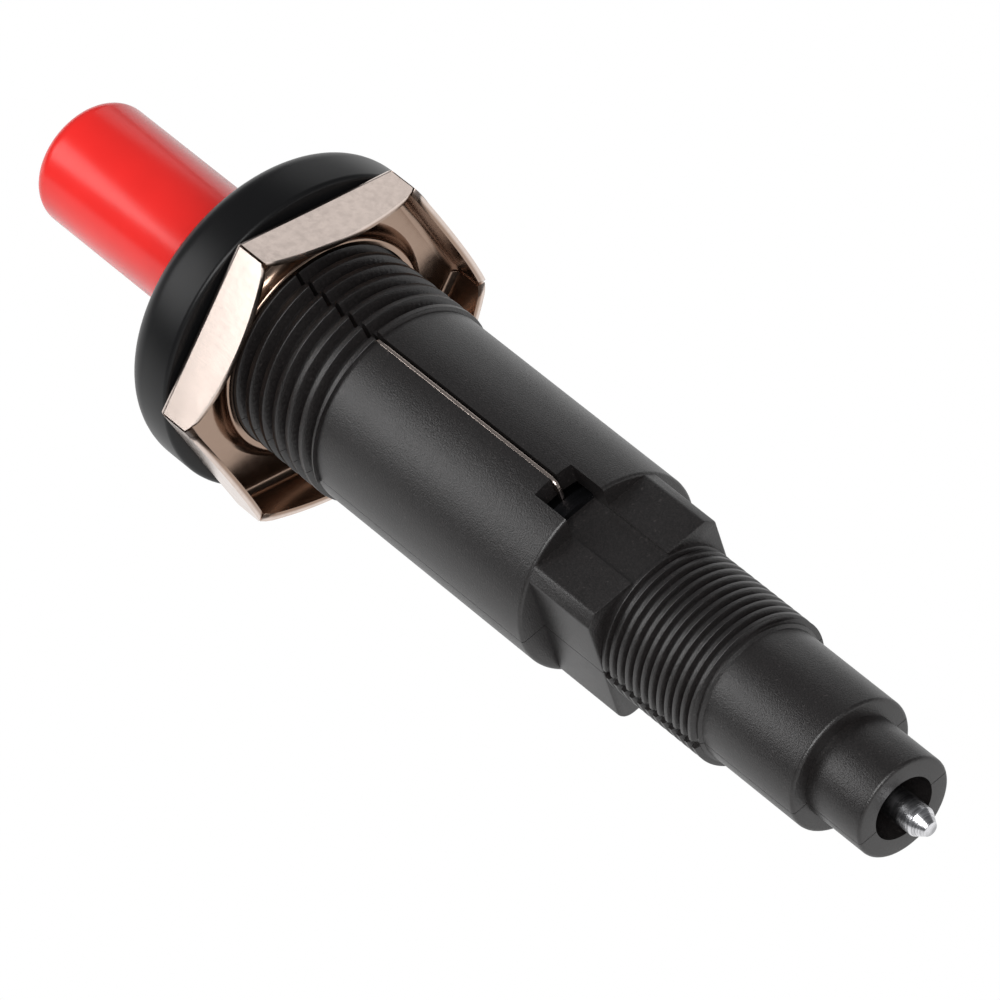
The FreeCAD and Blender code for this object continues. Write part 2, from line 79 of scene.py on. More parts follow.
class IgniterBarrelSizes(bpy.types.PropertyGroup):
    thread_r: length("Front thread radius", "Radius over the crests of the front thread", 0.009)
    thread_root: length("Front thread root", "Radius at the root of the front thread", 0.0081)
    thread_end: length("Front thread length", "Where the front thread runs out", 0.0117)
    thread_pitch: length("Front pitch", "Pitch of the front thread", 0.00162)
    thread_crest: length("Front crest", "Width of the flat on each front crest", 0.00046)
    thread_foot: length("Front foot", "Width of each front ridge at its root", 0.00105)
    thread_phase: length("Front thread start", "Where a front crest passes the +X side", 0.0104)
    barrel_r: length("Barrel radius", "Radius of the plain barrel", 0.0087)
    barrel_end: length("Barrel end", "Rear face of the barrel", 0.0363)
    spigot_r: length("Spigot radius", "Radius of the spigot inside the flange", 0.00745)
    spigot_front: length("Spigot front", "Front face of the spigot", -0.0035)
    block_end: length("Block end", "Rear face of the square block", 0.0432)
    block_half: length("Block half width", "Half the width across the square block", 0.0065)
    block_chamfer: length("Block chamfer", "Chamfer along the upper edges of the block", 0.0009)
    block_round: length("Block rounding", "Rounding along the lower edges of the block", 0.0014)
    rear_r: length("Rear thread radius", "Radius over the crests of the rear thread", 0.0065)
    rear_root: length("Rear thread root", "Radius at the root of the rear thread", 0.00605)
    rear_end: length("Rear thread end", "Where the rear thread stops", 0.054)
    rear_pitch: length("Rear pitch", "Pitch of the rear thread", 0.0009)
    rear_crest: length("Rear crest", "Width of the flat on each rear crest", 0.00036)
    rear_foot: length("Rear foot", "Width of each rear ridge at its root", 0.00062)
    rear_phase: length("Rear thread start", "Where a rear crest passes the +X side", 0.04526)
    tail_r: length("Tail radius", "Radius of the tail", 0.0058)
    tail_end: length("Tail end", "Rear face of the tail", 0.0641)
    nose_r: length("Nose radius", "Radius of the nose", 0.0044)
    nose_end: length("Nose end", "Rear face of the nose", 0.07)
    edge: length("Moulded edge", "Rounding of the moulded edges", 0.0003)
    block_edge: length("Block edge", "Rounding of the block's edges", 0.00015)
    crest_edge: length("Crest edge", "Rounding along the crests of both threads", 0.00007)
    seam: length("Seam", "Gap along the parting line", 0.00006)
    relief: length("Seam relief", "Height of the flat beside the parting line in the rear thread", 0.00045)


class IgniterBoreSizes(bpy.types.PropertyGroup):
    main_r: length("Main bore", "Radius of the bore that the plunger runs in", 0.0067)
    main_end: length("Main bore end", "Rear end of the plunger's bore", 0.0345)
    stack_r: length("Stack bore", "Radius of the bore round the crystals", 0.0051)
    stack_end: length("Stack bore end", "Rear end of the crystals' bore", 0.054)
    head_r: length("Pin head bore", "Radius of the bore round the pin's head", 0.0023)
    pin_seat: length("Pin seat", "Where the pin's head seats", 0.0616)
    shank_r: length("Pin shank bore", "Radius of the bore round the pin's shank", 0.00165)
    nose_floor: length("Nose bore floor", "Floor of the recess round the pin", 0.0655)
    nose_r: length("Nose bore", "Radius of the recess round the pin", 0.00275)
    window_start: length("Window start", "Front edge of the window in the barrel", 0.0326)
    channel_half: length("Channel half width", "Half the width of the window and the channel behind it", 0.00185)
    channel_floor: length("Channel floor", "Height of the channel's floor over the axis", 0.006)
    slot_near: length("Slot side at the strip", "Side of the strip's slot that the strip lies against", 0.00018)
    slot_far: length("Far slot side", "Far side of the strip's slot", -0.0004)
    slot_floor: length("Slot floor", "Height of the slot's floor over the axis", 0.0072)


class IgniterFrontSizes(bpy.types.PropertyGroup):
    button_r: length("Button radius", "Radius of the button", 0.0055)
    button_round: length("Button rounding", "Rounding of the button's end", 0.0016)
    button_bore: length("Button bore", "Radius of the button's hollow", 0.0041)
    flange_r: length("Flange radius", "Radius of the flange", 0.014)
    flange_round: length("Flange rounding", "Rounding of the flange's front edge", 0.0024)
    flange_edge: length("Flange edge", "Rounding of the flange's rear edge", 0.0004)
    flange_hole: length("Flange hole", "Radius of the hole that the button runs in", 0.00558)
    dish: length("Flange dish", "Width of the dished ring round the button", 0.0015)
    dish_depth: length("Dish depth", "Depth of the dished ring", 0.0005)
    nut_flats: length("Nut flats", "Width across the nut's flats", 0.026)
    nut_sheet: length("Nut sheet", "Thickness of the nut's sheet", 0.0006)
    nut_front: length("Nut front", "Front face of the nut", 0.0003)
    nut_flap: length("Nut flap", "Height of the folded sides at their corners", 0.0029)
    nut_crown: length("Nut crown", "How far each folded side bulges at its middle", 0.0012)
    nut_fold: length("Nut fold", "Radius of the folds", 0.0007)
    nut_corner: length("Nut corner", "How far the sides round off towards their ends", 0.0009)
    nut_slit: length("Nut slit", "Gap between two folded sides", 0.0002)
    nut_bore: length("Nut bore", "Radius of the nut's bore", 0.00908)
    nut_lip: length("Nut lip", "Height of the lip round the bore", 0.0012)
    lip_wall: length("Lip wall", "Thickness of the lip", 0.0006)
    lip_flare: length("Lip flare", "Radius in which the sheet rises to the lip", 0.0011)
    nut_turn: bpy.props.FloatProperty(name="Nut turn", description="Angle of the nut's first corner from +X",
                                      default=math.radians(18), subtype="ANGLE")


class IgniterSmallSizes(bpy.types.PropertyGroup):
    strip_half: length("Strip half thickness", "Half the thickness of the strip", 0.00015)
    strip_high: length("Strip height", "Height of the strip's outer edge over the axis", 0.0086)
    strip_width: length("Strip width", "Width of the strip, which stands on edge", 0.00135)
    strip_dip: length("Strip dip", "How far the strip dips below the thread", 0.0014)
    strip_leg: length("Strip leg", "Reach of the bent rear leg", 0.003)
    strip_bend: length("Strip bend", "Radius of the bend at the strip's rear end", 0.0009)
    pin_r: length("Pin radius", "Radius of the terminal pin", 0.00125)
    pin_cone: length("Pin cone", "Length of the cone at the pin's end", 0.0011)
    pin_tip: length("Pin tip", "Radius of the flat on the pin's end", 0.0006)
    pin_head: length("Pin head", "Radius of the pin's head", 0.0022)
    pin_shank: length("Pin shank", "Radius of the pin's shank", 0.0016)
    drive_wire: length("Drive wire", "Diameter of the drive spring's wire", 0.0008)
    return_wire: length("Return wire", "Diameter of the return spring's wire", 0.0006)
    contact_wire: length("Contact wire", "Diameter of the contact spring's wire", 0.0004)


class IgniterColours(bpy.types.PropertyGroup):
    button: colour("Button", "Red of the button", (0.95, 0.027, 0.023))
    flange: colour("Flange", "Black of the flange", (0.006, 0.006, 0.0065))
    housing: colour("Housing", "Black of the textured housing", (0.0112, 0.0096, 0.0094))
    nickel: colour("Nickel", "Plating of the nut and the strip", (0.71, 0.6, 0.54))
    pin: colour("Pin", "Metal of the terminal pin", (0.74, 0.74, 0.76))
    steel: colour("Steel", "Turned steel of the inner pieces", (0.5, 0.5, 0.52))
    blackened: colour("Blackened steel", "Phosphated steel of the guide tube", (0.03, 0.03, 0.033))
    brass: colour("Brass", "Brass of the inner contacts", (0.72, 0.5, 0.2))
    ceramic: colour("Ceramic", "Fired ceramic of the crystals", (0.66, 0.62, 0.48))
    acetal: colour("Acetal", "Natural white of the inner mouldings", (0.8, 0.79, 0.74))


# Modelling by hand

def deselect():
    if bpy.context.object and bpy.context.object.mode != "OBJECT":
        bpy.ops.object.mode_set(mode="OBJECT")
    bpy.ops.object.select_all(action="DESELECT")


def pick(piece):
    deselect()
    piece.select_set(True)
    bpy.context.view_layer.objects.active = piece


def settle(piece, name):
    """Names the piece and puts its place into its mesh."""
    pick(piece)
    piece.name = name
    piece.data.name = name
    bpy.ops.object.transform_apply(location=True, rotation=True, scale=True)
    return piece


def edit(piece, mode="VERT"):
    pick(piece)
    bpy.ops.object.mode_set(mode="EDIT")
    bpy.ops.mesh.select_mode(type=mode)


def done():
    bpy.ops.object.mode_set(mode="OBJECT")


def face_out(piece, merge=1e-7):
    edit(piece)
    bpy.ops.mesh.select_all(action="SELECT")
    bpy.ops.mesh.remove_doubles(threshold=merge)
    bpy.ops.mesh.normals_make_consistent(inside=False)
    done()
    return piece


def rounded(centre, radius, start, end, steps):
    """Points (across, along) of an arc round a centre, from one angle to another."""
    turns = [start + (end - start) * index / steps for index in range(steps + 1)]
    return [(centre[0] + radius * math.cos(turn), centre[1] + radius * math.sin(turn)) for turn in turns]


def turned(name, outline, ring=RING):
    """Turns an outline of (radius, y) round the axis: a ring is drawn out from point to point."""
    deselect()
    radius, y = outline[0]
    bpy.ops.mesh.primitive_circle_add(vertices=ring, radius=radius, fill_type="NOTHING", location=(0, y, 0),
                                      rotation=(math.pi / 2, 0, 0))
    piece = settle(bpy.context.object, name)
    edit(piece, "EDGE")
    bpy.ops.mesh.select_all(action="SELECT")
    closed = outline[0] == outline[-1]
    if not closed:
        bpy.ops.mesh.edge_face_add()
    for (radius, y), (next_radius, next_y) in zip(outline, outline[1:]):
        bpy.ops.mesh.extrude_region_move(TRANSFORM_OT_translate={"value": (0, next_y - y, 0)})
        if next_radius != radius:
            scale = next_radius / radius
            bpy.ops.transform.resize(value=(scale, 1, scale), center_override=(0, next_y, 0))
    done()
    return spun(face_out(piece), math.pi / ring)


def drawn(name, points, sweep, faced=True):
    """Draws an outline point by point from one vertex, fills it, and draws it out along the sweep."""
    deselect()
    bpy.ops.mesh.primitive_plane_add(size=0.001, location=points[0])
    piece = settle(bpy.context.object, name)
    edit(piece)
    bpy.ops.mesh.select_all(action="SELECT")
    bpy.ops.mesh.merge(type="CENTER")
    for place, following in zip(points, points[1:] + points[:1]):
        step = Vector(following) - Vector(place)
        bpy.ops.mesh.extrude_region_move(TRANSFORM_OT_translate={"value": step})
    bpy.ops.mesh.select_all(action="SELECT")
    bpy.ops.mesh.remove_doubles(threshold=1e-7)
    if faced:
        bpy.ops.mesh.edge_face_add()
        bpy.ops.mesh.extrude_region_move(TRANSFORM_OT_translate={"value": sweep})
    done()
    if faced:
        face_out(piece)
    return piece


def slab(name, low, high):
    """A box between two corners."""
    deselect()
    low, high = Vector(low), Vector(high)
    bpy.ops.mesh.primitive_cube_add(size=1, location=(low + high) / 2, scale=high - low)
    return settle(bpy.context.object, name)


def rod(name, radius, centre, height, axis="Y", ring=48):
    deselect()
    turn = {"X": (0, math.pi / 2, 0), "Y": (math.pi / 2, 0, 0), "Z": (0, 0, 0)}[axis]
    bpy.ops.mesh.primitive_cylinder_add(vertices=ring, radius=radius, depth=height, location=centre,
                                        rotation=turn)
    return settle(bpy.context.object, name)


def twin(piece, name):
    pick(piece)
    bpy.ops.object.duplicate()
    return settle(bpy.context.object, name)


def spun(piece, angle):
    """Turns a piece round the barrel's axis."""
    piece.matrix_world = Matrix.Rotation(angle, 4, "Y") @ piece.matrix_world
    return settle(piece, piece.name)


def cut(piece, cutters, how="DIFFERENCE"):
    """Cuts the cutters away from a piece, or joins them to it, and removes them."""
    for cutter in cutters:
        pick(piece)
        change = piece.modifiers.new("cut", "BOOLEAN")
        change.operation = how
        change.solver = "EXACT"
        change.object = cutter
        bpy.ops.object.modifier_apply(modifier=change.name)
        if not piece.data.polygons:
            raise RuntimeError("nothing is left of " + piece.name)
        bpy.data.objects.remove(cutter)
    return piece


def soften(piece, width, segments=2, angle=30):
    """Bevels the sharp edges and shades the piece smooth between them."""
    pick(piece)
    change = piece.modifiers.new("soften", "BEVEL")
    change.width = width
    change.segments = segments
    change.limit_method = "ANGLE"
    change.angle_limit = math.radians(angle)
    change.use_clamp_overlap = True
    change.harden_normals = False
    bpy.ops.object.modifier_apply(modifier=change.name)
    return shade(piece)


def shade(piece, angle=32):
    pick(piece)
    bpy.ops.object.shade_smooth_by_angle(angle=math.radians(angle))
    return piece


def even(piece):
    """Lets the broad faces rule the shading beside their bevels."""
    pick(piece)
    change = piece.modifiers.new("even", "WEIGHTED_NORMAL")
    change.keep_sharp = True
    change.weight = 80
    bpy.ops.object.modifier_apply(modifier=change.name)
    return piece


def wind(piece, pitch, turns, ring):
    """Screws a section round the axis, right-handed."""
    pick(piece)
    change = piece.modifiers.new("wind", "SCREW")
    change.axis = "Y"
    change.angle = math.tau
    change.screw_offset = pitch
    change.iterations = turns
    change.steps = ring
    change.render_steps = ring
    change.use_normal_calculate = True
    bpy.ops.object.modifier_apply(modifier=change.name)
    return piece


def helix(name, root, crest, foot, flat, edge, pitch, start, turns, ring=96):
    """A ridge wound round the axis, its section drawn at the +X side with rounded crest edges."""
    below = root - (crest - root) * 0.12
    lean = math.atan2(crest - root, (foot - flat) / 2)
    half = rounded((crest - edge, flat / 2 - edge * math.tan(lean / 2)), edge, 0, lean, 3)
    half += [(root, foot / 2), (below, foot / 2)]
    section = [(radius, start - y, 0) for radius, y in reversed(half)]
    section += [(radius, start + y, 0) for radius, y in half]
    piece = wind(drawn(name, section, None, faced=False), pitch, turns, ring)
    edit(piece, "EDGE")
    bpy.ops.mesh.select_all(action="SELECT")
    bpy.ops.mesh.fill_holes(sides=len(section))
    done()
    return spun(face_out(piece), math.pi / ring)


def coil(name, outer, wire, low, high, turns, ring=40):
    """A compression spring: a round wire with one closed turn at each end, ground flat."""
    mean = outer - wire / 2
    closed = wire * 1.03
    pitch = (high - low - 2 * closed) / turns
    runs = []
    for start, rise, count in ((low, closed, 1), (low + closed, pitch, turns), (high - closed, closed, 1)):
        deselect()
        bpy.ops.mesh.primitive_circle_add(vertices=12, radius=wire / 2, fill_type="NOTHING",
                                          location=(mean, start, 0))
        runs.append(wind(settle(bpy.context.object, name), rise, count, ring))
    pick(runs[0])
    for run in runs:
        run.select_set(True)
    bpy.ops.object.join()
    piece = settle(bpy.context.object, name)
    edit(piece)
    bpy.ops.mesh.select_all(action="SELECT")
    bpy.ops.mesh.remove_doubles(threshold=wire / 200)
    for y, side in ((low, -1), (high, 1)):
        bpy.ops.mesh.select_all(action="SELECT")
        bpy.ops.mesh.bisect(plane_co=(0, y, 0), plane_no=(0, side, 0), use_fill=True, clear_outer=True)
    done()
    return shade(face_out(piece), 40)


def place(piece, body, node, slot, material):
    """Gives a finished piece its material and body, and hides the node that it stands for."""
    piece.data.materials.clear()
    piece.data.materials.append(material)
    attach(piece, body)
    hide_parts(node)


# Materials

class Flow:
    """A socket that takes part in sums."""

    def __init__(self, recipe, socket):
        self.recipe = recipe
        self.socket = socket

    def sum(self, operation, first, second):
        return self.recipe.add("ShaderNodeMath", {"operation": operation}, {0: first, 1: second})

    def __add__(self, other):
        return self.sum("ADD", self, other)

    def __radd__(self, other):
        return self.sum("ADD", other, self)

    def __mul__(self, other):
        return self.sum("MULTIPLY", self, other)

    def __rmul__(self, other):
        return self.sum("MULTIPLY", other, self)


class Recipe:
    """The nodes of one material."""

    def __init__(self, name):
        self.material = bpy.data.materials.new(name)
        self.material.use_nodes = True
        self.nodes = self.material.node_tree.nodes
        self.links = self.material.node_tree.links
        self.nodes.clear()

    def add(self, kind, settings=None, values=None, output=0):
        node = self.nodes.new(kind)
        for setting, value in (settings or {}).items():
            if setting == "stops":
                ramp = node.color_ramp
                ramp.elements[0].position, ramp.elements[0].color = value[0]
                ramp.elements[1].position, ramp.elements[1].color = value[-1]
                for position, stop in value[1:-1]:
                    ramp.elements.new(position).color = stop
            else:
                setattr(node, setting, value)
        for key, value in (values or {}).items():
            if isinstance(value, Flow):
                self.links.new(value.socket, node.inputs[key])
            else:
                node.inputs[key].default_value = value
        return Flow(self, node.outputs[output])

    def places(self):
        return self.add("ShaderNodeTexCoord", output="Object")

    def noise(self, scale, detail=2.0, roughness=0.5, vector=None):
        return self.add("ShaderNodeTexNoise", None, {"Vector": vector or self.places(), "Scale": scale,
                                                     "Detail": detail, "Roughness": roughness})

    def between(self, value, low, high, out_low=0.0, out_high=1.0):
        return self.add("ShaderNodeMapRange", {"clamp": True},
                        {"Value": value, "From Min": low, "From Max": high, "To Min": out_low,
                         "To Max": out_high})

    def blend(self, factor, first, second):
        return self.add("ShaderNodeMix", {"data_type": "RGBA"}, {0: factor, 6: first, 7: second}, output=2)

    def bump(self, height, strength, distance, normal=None):
        values = {"Height": height, "Strength": strength, "Distance": distance}
        if normal is not None:
            values["Normal"] = normal
        return self.add("ShaderNodeBump", None, values)

    def finish(self, **sockets):
        values = {key.replace("_", " "): value for key, value in sockets.items()}
        shader = self.add("ShaderNodeBsdfPrincipled", None, values)
        out = self.nodes.new("ShaderNodeOutputMaterial")
        self.links.new(shader.socket, out.inputs["Surface"])
        return self.material


def shade_of(base, factor):
    return tuple(min(1.0, part * factor) for part in base) + (1.0,)


def textured_plastic(name, base):
    """Spark-eroded moulded plastic: a fine even grain with pale specks."""
    recipe = Recipe(name)
    grain = recipe.noise(7600.0, 2.0, 0.6)
    patches = recipe.noise(160.0, 2.0, 0.5)
    specks = recipe.between(recipe.noise(3600.0, 1.0, 0.4), 0.7, 0.78)
    tint = recipe.blend(recipe.between(grain, 0.36, 0.66), shade_of(base, 0.45), shade_of(base, 1.7))
    tint = recipe.blend(patches * 0.35, tint, shade_of(base, 1.3))
    tint = recipe.blend(specks, tint, shade_of(base, 3.2))
    roughness = 0.34 + 0.08 * patches
    normal = recipe.bump(grain, 0.8, 0.00004)
    return recipe.finish(Base_Color=tint, Roughness=roughness, Normal=normal, Specular_IOR_Level=0.65)


def satin_plastic(name, base, roughness, gloss=0.5):
    """Smooth moulded plastic with faint flow marks."""
    recipe = Recipe(name)
    fine = recipe.noise(2600.0, 2.0, 0.5)
    broad = recipe.noise(120.0, 3.0, 0.5)
    tint = recipe.blend(recipe.between(broad, 0.3, 0.7), shade_of(base, 0.93), shade_of(base, 1.06))
    rough = roughness - 0.05 + 0.1 * broad
    normal = recipe.bump(fine, 0.4, 0.000004)
    return recipe.finish(Base_Color=tint, Roughness=rough, Normal=normal, Specular_IOR_Level=gloss)


def painted_shade_inside_nut(recipe, sizes):
    """1 on the sheet inside the nut's folded sides and under the thread, where painted shade darkens the
    plating.
    """
    across, along, height = (recipe.add("ShaderNodeSeparateXYZ", None, {"Vector": recipe.places()}, part)
                             for part in range(3))
    reach = 0.0
    for index in range(3):
        turn = sizes.nut_turn + math.radians(30 + 60 * index)
        side = across * math.cos(turn) + height * math.sin(turn)
        reach = side.sum("MAXIMUM", reach, side.sum("ABSOLUTE", side, 0.0))
    middle = sizes.nut_flats / 2 - sizes.nut_sheet / 2
    inside = recipe.between(reach, middle - 0.0001, middle + 0.0001, 1.0, 0.0)
    behind = recipe.between(along, sizes.nut_front + sizes.nut_sheet * 0.5, sizes.nut_front + sizes.nut_sheet)
    return inside * behind * recipe.between(along, 0.0108, 0.0112, 1.0, 0.0)


def plated_sheet(name, base):
    """Rolled and plated sheet: fine rolling marks, slight waviness, and painted shade on the sheet inside the
    nut's folds.
    """
    recipe = Recipe(name)
    # painted shade: mask of the nut's inner faces, which take the darker tint below
    painted_shade_mask = painted_shade_inside_nut(recipe, bpy.context.scene.igniter_front)
    stretched = recipe.add("ShaderNodeMapping", None,
                           {"Vector": recipe.places(), "Scale": (1.0, 0.15, 1.0)})
    rolling = recipe.noise(3200.0, 2.0, 0.6, stretched)
    waves = recipe.noise(170.0, 2.0, 0.5)
    patch = recipe.between(recipe.noise(1500.0, 4.0, 0.6), 0.4, 0.75)
    spots = recipe.between(recipe.noise(2600.0, 2.0, 0.5), 0.6, 0.75)
    tint = recipe.blend(patch, shade_of(base, 1.03), shade_of(base, 0.95))
    tint = recipe.blend(spots * 0.25, tint, shade_of(base, 0.8))
    # painted shade: a darker, browner tint in place of the shade and dark reflections inside the nut
    dark_tone = tuple(part * share for part, share in zip(base, (0.5, 0.42, 0.36))) + (1.0,)
    tint = recipe.blend(painted_shade_mask, tint, dark_tone)
    rough = 0.18 + 0.05 * patch + 0.05 * rolling
    normal = recipe.bump(rolling, 0.3, 0.000004)
    normal = recipe.bump(waves, 0.3, 0.00005, normal)
    return recipe.finish(Base_Color=tint, Metallic=1.0, Roughness=rough, Normal=normal)


def turned_metal(name, base, rough, pitch, depth=0.000012, contrast=0.2):
    """Metal turned on a lathe: rings one feed apart, of uneven depth, with darker grooves."""
    recipe = Recipe(name)
    along = recipe.add("ShaderNodeMapping", None, {"Vector": recipe.places(), "Scale": (0.05, 1.0, 0.05)})
    rings = recipe.noise(0.8 / pitch, 3.0, 0.7, along)
    dark_tone = recipe.noise(900.0, 3.0, 0.6)
    grooves = recipe.between(rings, 0.4, 0.56)
    tint = recipe.blend(grooves, shade_of(base, 1.0 - contrast), shade_of(base, 1.06))
    tint = recipe.blend(dark_tone * 0.3, tint, shade_of(base, 0.8))
    normal = recipe.bump(rings, 1.0, depth)
    return recipe.finish(Base_Color=tint, Metallic=1.0, Roughness=rough + 0.14 * dark_tone, Normal=normal)


def drawn_wire(name, base):
    recipe = Recipe(name)
    fine = recipe.noise(4000.0, 3.0, 0.6)
    film = recipe.noise(500.0, 3.0, 0.5)
    tint = recipe.blend(film, shade_of(base, 0.75), shade_of(base, 1.15))
    normal = recipe.bump(fine, 0.3, 0.000006)
    return recipe.finish(Base_Color=tint, Metallic=1.0, Roughness=0.24 + 0.14 * film, Normal=normal)


def fired_ceramic(name, base):
    recipe = Recipe(name)
    grain = recipe.noise(3500.0, 4.0, 0.6)
    mottle = recipe.noise(300.0, 3.0, 0.5)
    tint = recipe.blend(mottle, shade_of(base, 0.88), shade_of(base, 1.12))
    normal = recipe.bump(grain, 0.5, 0.00001)
    return recipe.finish(Base_Color=tint, Roughness=0.55 + 0.15 * grain, Normal=normal)


def finishes():
    """The materials by the record's slots, each made once."""
    colours = bpy.context.scene.igniter_colours
    made = {
        "red_plastic": ("satin_red", satin_plastic, colours.button, 0.21, 0.36),
        "flange_plastic": ("satin_black", satin_plastic, colours.flange, 0.36, 0.26),
        "housing_plastic": ("textured_black", textured_plastic, colours.housing),
        "acetal": ("natural_acetal", satin_plastic, colours.acetal, 0.45),
        "nickel_sheet": ("plated_nickel", plated_sheet, colours.nickel),
        "pin_metal": ("turned_pin", turned_metal, colours.pin, 0.17, 0.0001, 0.000014, 0.5),
        "inner_steel": ("turned_steel", turned_metal, colours.steel, 0.26, 0.00016),
        "blackened_steel": ("phosphated_steel", turned_metal, colours.blackened, 0.4, 0.00016),
        "spring_steel": ("drawn_steel", drawn_wire, colours.steel),
        "inner_brass": ("turned_brass", turned_metal, colours.brass, 0.28, 0.0002),
        "piezo_ceramic": ("fired_ceramic", fired_ceramic, colours.ceramic),
    }
    return {slot: bpy.data.materials.get(name) or make(name, *values)
            for slot, (name, make, *values) in made.items()}


# Pieces

class IGNITER_OT_button(bpy.types.Operator):
    """Models the push button with its rounded end and hollow"""
    bl_idname = "igniter.button"
    bl_label = "Push button"

    def execute(self, context):
        sizes = context.scene.igniter_front
        low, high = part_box("push_button")
        front = low.y
        collar = high.z
        rounding = sizes.button_round
        step, end_wall = 0.0009, 0.0022
        outline = [(0.0002, front)]
        outline += rounded((sizes.button_r - rounding, front + rounding), rounding, -math.pi / 2, 0, 10)
        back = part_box("plunger_sleeve")[0].y
        outline += [
            (sizes.button_r, back),
            (collar, back),
            (collar, high.y),
            (sizes.button_bore + step, high.y),
            (sizes.button_bore + step, back),
            (sizes.button_bore, back),
            (sizes.button_bore, front + end_wall),
            (0.0002, front + end_wall),
        ]
        piece = soften(turned("button", outline), 0.00012, 2, 40)
        place(piece, "button", "push_button", "red_plastic", finishes()["red_plastic"])
        return {"FINISHED"}


class IGNITER_OT_flange(bpy.types.Operator):
    """Models the round flange with its rolled rim and the dished ring round the button"""
    bl_idname = "igniter.flange"
    bl_label = "Flange"

    def execute(self, context):
        sizes = context.scene.igniter_front
        low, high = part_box("bezel_flange")
        front, back = low.y, high.y
        radius = sizes.flange_r
        recess = context.scene.igniter_barrel.spigot_r + 0.00005
        rounding = sizes.flange_round
        web_back = context.scene.igniter_barrel.spigot_front
        outline = [
            (sizes.flange_hole, web_back),
            (sizes.flange_hole, front + sizes.dish_depth),
            (sizes.flange_hole + sizes.dish, front),
        ]
        outline += rounded((radius - rounding, front + rounding), rounding, -math.pi / 2, 0, 14)
        outline += rounded((radius - sizes.flange_edge, back - sizes.flange_edge), sizes.flange_edge, 0,
                           math.pi / 2, 4)
        outline += [
            (recess, back),
            (recess, web_back),
            (sizes.flange_hole, web_back),
        ]
        piece = soften(turned("flange", outline, 192), 0.00012, 2, 25)
        place(piece, "housing", "bezel_flange", "flange_plastic", finishes()["flange_plastic"])
        return {"FINISHED"}


class IGNITER_OT_nut(bpy.types.Operator):
    """Models the stamped hexagonal nut: a blank whose six sides fold to the rear"""
    bl_idname = "igniter.nut"
    bl_label = "Stamped nut"

    def execute(self, context):
        sizes = context.scene.igniter_front
        front = sizes.nut_front
        sheet = sizes.nut_sheet
        floor = front + sheet
        corner_top = floor + sizes.nut_flap
        top = corner_top + sizes.nut_crown
        flat = sizes.nut_flats / 2
        nut = self.hexagon("nut", sizes.nut_flats, front, top, sizes.nut_fold)
        cut(nut, [self.hexagon("inside", sizes.nut_flats - 2 * sheet, floor, top + 0.001, sizes.nut_fold)])
        wall = sizes.nut_bore + sizes.lip_wall
        flare = sizes.lip_flare
        rounding = sizes.lip_wall / 2
        rim = floor + sizes.nut_lip
        outline = [(sizes.nut_bore - 0.0001, front + sheet / 2), (wall + flare, front + sheet / 2)]
        outline += rounded((wall + flare, floor + flare - 0.00002), flare, -math.pi / 2, -math.pi, 8)
        outline += rounded((wall - rounding, rim - rounding), rounding, 0, math.pi / 2, 4)
        outline += [(sizes.nut_bore - 0.0001, rim), outline[0]]
        cut(nut, [turned("lip", outline, 96)], "UNION")
        cut(nut, [rod("bore", sizes.nut_bore, (0, front, 0), 0.02, ring=96)])
        arch = self.crown(sizes, flat, corner_top, top)
        slit = slab("slit", (flat, floor + 0.00001, -sizes.nut_slit / 2),
                    (sizes.nut_flats, top + 0.001, sizes.nut_slit / 2))
        cutters = []
        for index in range(6):
            cutters.append(spun(twin(arch, "arch_cutter"), math.radians(60 * index)))
            cutters.append(spun(twin(slit, "slit_cutter"), math.radians(60 * index)))
        bpy.data.objects.remove(arch)
        bpy.data.objects.remove(slit)
        cut(nut, cutters)
        spun(nut, -sizes.nut_turn)
        edit(nut)
        bpy.ops.mesh.select_all(action="SELECT")
        bpy.ops.mesh.remove_doubles(threshold=0.00001)
        bpy.ops.mesh.dissolve_limited(angle_limit=math.radians(0.5))
        done()
        even(soften(face_out(nut, 1e-6), 0.0001, 2, 35))
        place(nut, "nut", "hex_nut", "nickel_sheet", finishes()["nickel_sheet"])
        return {"FINISHED"}

    def hexagon(self, name, flats, start, end, fold):
        """A hexagonal prism with a corner at +X, its front edges rounded as the sheet folds there."""
        deselect()
        bpy.ops.mesh.primitive_cylinder_add(vertices=6, radius=flats / math.sqrt(3), depth=end - start,
                                            location=(0, (start + end) / 2, 0), rotation=(math.pi / 2, 0, 0))
        piece = settle(bpy.context.object, name)
        corner = piece.data.vertices[0].co
        spun(piece, math.atan2(corner.z, corner.x))
        edit(piece, "EDGE")
        bpy.ops.mesh.select_all(action="DESELECT")
        done()
        for edge in piece.data.edges:
            edge.select = all(piece.data.vertices[index].co.y < start + 1e-6 for index in edge.vertices)
        bpy.ops.object.mode_set(mode="EDIT")
        bpy.ops.mesh.bevel(offset=fold, segments=6, affect="EDGES")
        done()
        return piece

    def crown(self, sizes, flat, corner_top, top):
        """What is cut away above one side: a shallow arc that rounds off at its ends, mitred at the corners."""
        steps = 32
        inner = flat - sizes.nut_sheet * 1.6
        outer = flat + sizes.nut_sheet * 1.6
        half_side = inner / math.sqrt(3)
        reach = half_side + sizes.nut_slit * 0.4
        ends = corner_top - sizes.nut_corner / 3
        points = [(-reach, top + 0.002), (-reach, ends)]
        for index in range(steps + 1):
            across = half_side * (2 * index / steps - 1)
            height = top - sizes.nut_crown * (across / half_side) ** 2
            near_end = max(0.0, abs(across) - half_side + sizes.nut_corner) / sizes.nut_corner
            points.append((across, height - sizes.nut_corner / 3 * near_end ** 2))
        points += [(reach, ends), (reach, top + 0.002)]
        arch = drawn("arch", [(across, y, inner) for across, y in points], (0, 0, outer - inner))
        for corner in arch.data.vertices:
            corner.select = corner.co.z > flat
        for part in (*arch.data.edges, *arch.data.polygons):
            part.select = False
        bpy.ops.object.mode_set(mode="EDIT")
        bpy.ops.transform.resize(value=(outer / inner, 1, 1), center_override=(0, 0, 0))
        done()
        return arch


